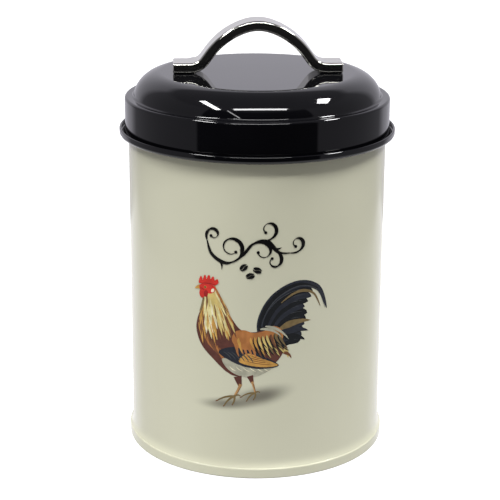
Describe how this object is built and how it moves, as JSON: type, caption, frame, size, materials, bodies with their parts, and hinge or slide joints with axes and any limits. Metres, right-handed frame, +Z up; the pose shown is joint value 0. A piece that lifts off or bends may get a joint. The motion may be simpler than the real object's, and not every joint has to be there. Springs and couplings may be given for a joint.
{
  "type": "kitchen canister",
  "caption": "Round enamelled steel canister with a lift-off domed lid, strap handle and printed picture.",
  "frame": {"origin": "on the can's axis, at the plane that the foot stands on", "axes": "+Z up the can's axis; the handle runs along X; the picture side of the can faces -Y"},
  "size_m": [0.1102, 0.1102, 0.1731],
  "materials": {
    "cream_enamel": "glossy cream enamel with a printed picture",
    "base_enamel": "cream enamel",
    "black_enamel": "high-gloss black enamel",
    "chrome": "polished chrome plate",
    "silicone": "translucent white silicone, matt",
    "zinc_steel": "bright zinc-plated steel"
  },
  "bodies": {
    "can": {"can_body": "cream_enamel", "base_plate": "base_enamel"},
    "lid": {"lid_shell": "black_enamel", "lid_seal": "silicone", "lid_handle": "chrome", "handle_screw_left": "zinc_steel", "handle_screw_right": "zinc_steel", "handle_washer_left": "zinc_steel", "handle_washer_right": "zinc_steel"}
  },
  "joints": [
    {"name": "lid_lift", "type": "slide", "parent": "can", "child": "lid", "axis": [0, 0, 1], "range_m": [0, 0.12]}
  ]
}
